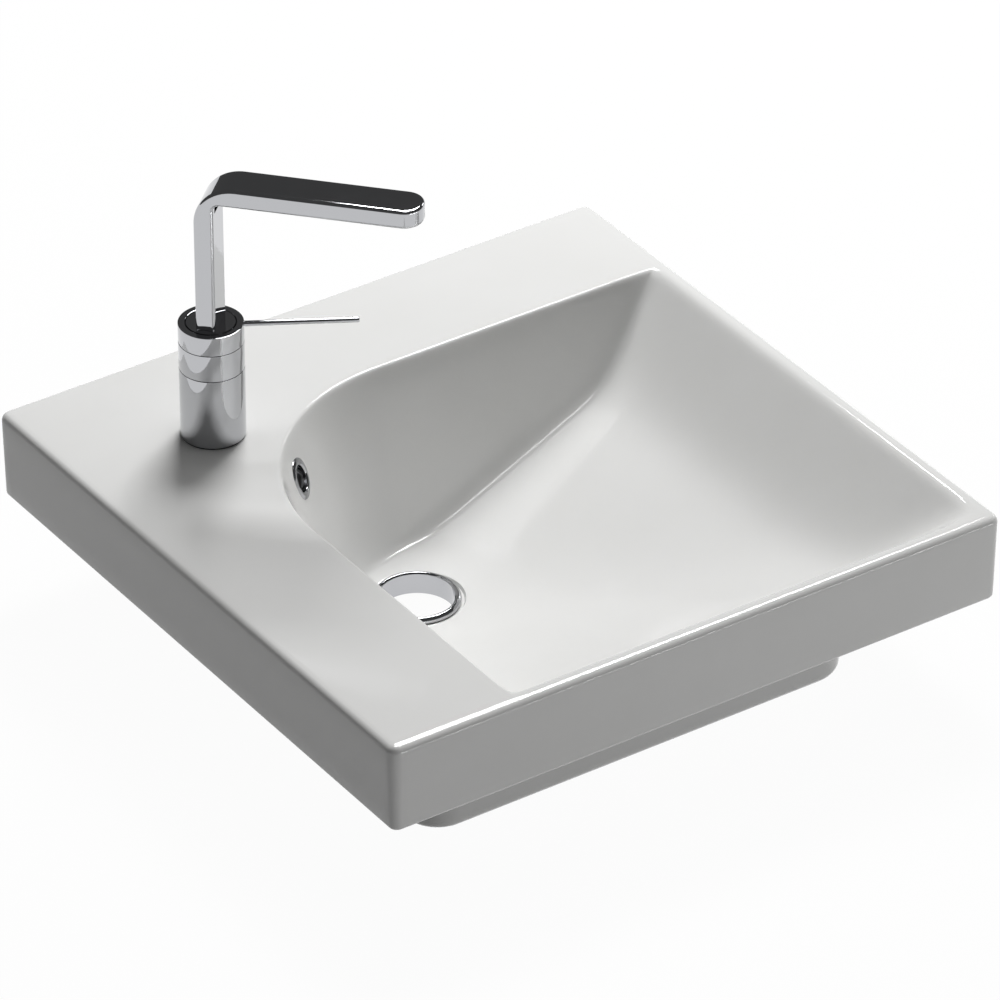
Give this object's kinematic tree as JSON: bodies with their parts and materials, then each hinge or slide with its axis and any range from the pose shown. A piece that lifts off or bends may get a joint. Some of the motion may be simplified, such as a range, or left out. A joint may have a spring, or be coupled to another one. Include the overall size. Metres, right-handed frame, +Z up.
{
  "type": "countertop basin with tap",
  "caption": "Square glazed china countertop basin with a scoop bowl, open waste, corner overflow and a single-lever tap with an angular spout on the wide deck.",
  "frame": {"origin": "middle of the basin in plan, on the countertop under the foot", "axes": "+X right along the front, +Y to the back, +Z up out of the countertop"},
  "size_m": [0.4998, 0.4998, 0.35],
  "materials": {
    "glazed_china": "gloss white glaze",
    "polished_chrome": "polished chrome plate",
    "chromed_core": "chrome plate on the visible top",
    "bare_brass": "turned",
    "black_rubber": "matte",
    "stainless_steel": "machined",
    "white_plastic": "moulded"
  },
  "bodies": {
    "basin": {"basin_body": "glazed_china", "overflow_ring": "polished_chrome", "drain_flange": "polished_chrome", "tap_body": "polished_chrome", "spout": "polished_chrome", "aerator_housing": "polished_chrome", "valve_core": "chromed_core", "drain_ring_nut": "bare_brass", "mounting_shank": "bare_brass", "mounting_nut": "bare_brass", "cold_inlet": "bare_brass", "hot_inlet": "bare_brass", "drain_seat_gasket": "black_rubber", "drain_under_gasket": "black_rubber", "base_seal": "black_rubber", "deck_gasket": "black_rubber", "core_seals": "black_rubber", "spout_seal": "black_rubber", "clamp_washer": "stainless_steel", "retaining_clip": "stainless_steel", "glide_washer": "white_plastic", "aerator_insert": "white_plastic"},
    "collar": {"swivel_collar": "polished_chrome", "hinge_pin": "stainless_steel"},
    "lever": {"lever_ring": "polished_chrome", "lever_rod": "polished_chrome", "lever_set_screw": "stainless_steel"},
    "sleeve": {"valve_sleeve": "bare_brass", "lift_pin": "stainless_steel"}
  },
  "joints": [
    {"name": "temperature", "type": "hinge", "parent": "basin", "child": "collar", "pos_m": [-0.1395, 0.1425, 0.1987], "axis": [0, 0, 1], "range_deg": [-62, 28]},
    {"name": "flow_lift", "type": "hinge", "parent": "collar", "child": "lever", "pos_m": [-0.15502, 0.15161, 0.2218], "axis": [-0.506, -0.8625, 0], "range_deg": [0, 9]},
    {"name": "sleeve_lift", "type": "slide", "parent": "collar", "child": "sleeve", "axis": [0, 0, 1], "range_m": [0, 0.0059]}
  ],
  "couplings": [
    {"joint": "sleeve_lift", "follows": "flow_lift", "m_per_rad": 0.0372}
  ]
}
